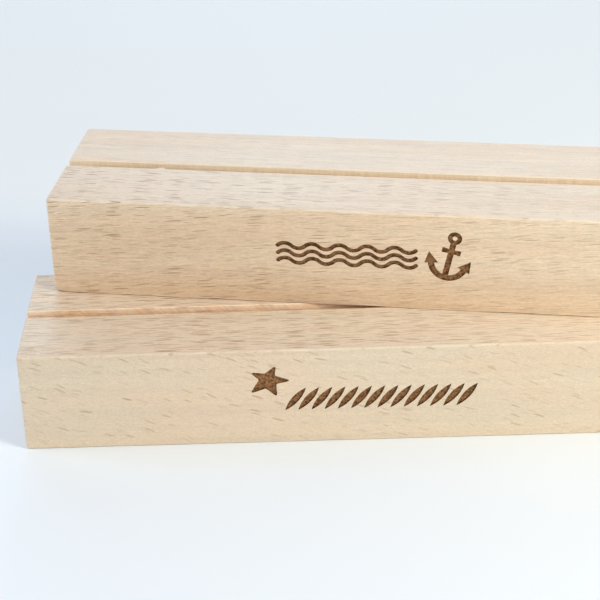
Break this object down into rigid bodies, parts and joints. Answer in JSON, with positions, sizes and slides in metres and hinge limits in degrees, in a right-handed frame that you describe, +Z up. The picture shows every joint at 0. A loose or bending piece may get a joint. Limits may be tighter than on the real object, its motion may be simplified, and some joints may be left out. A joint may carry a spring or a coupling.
{
  "type": "photo block holder",
  "caption": "Stacked solid beech photo block holders with eased edges, a saw slot along each top for a photograph or card, and a burnt engraving of simple sea motifs on each front.",
  "frame": {"origin": "middle of the lower block's underside", "axes": "+X along the upper block to its right end, +Y to its back, +Z up, -Y towards its engraved front; the lower block is turned 9 degrees about +Z against it"},
  "size_m": [0.1671, 0.0714, 0.05],
  "materials": {
    "beech": "bare, finely sanded beech with a burnt brown engraving"
  },
  "bodies": {
    "lower_block": {"lower_block": "beech"},
    "upper_block": {"upper_block": "beech"}
  },
  "joints": [
    {"name": "upper_block_lift", "type": "slide", "parent": "lower_block", "child": "upper_block", "axis": [0, 0, 1], "range_m": [0, 0.06]}
  ]
}
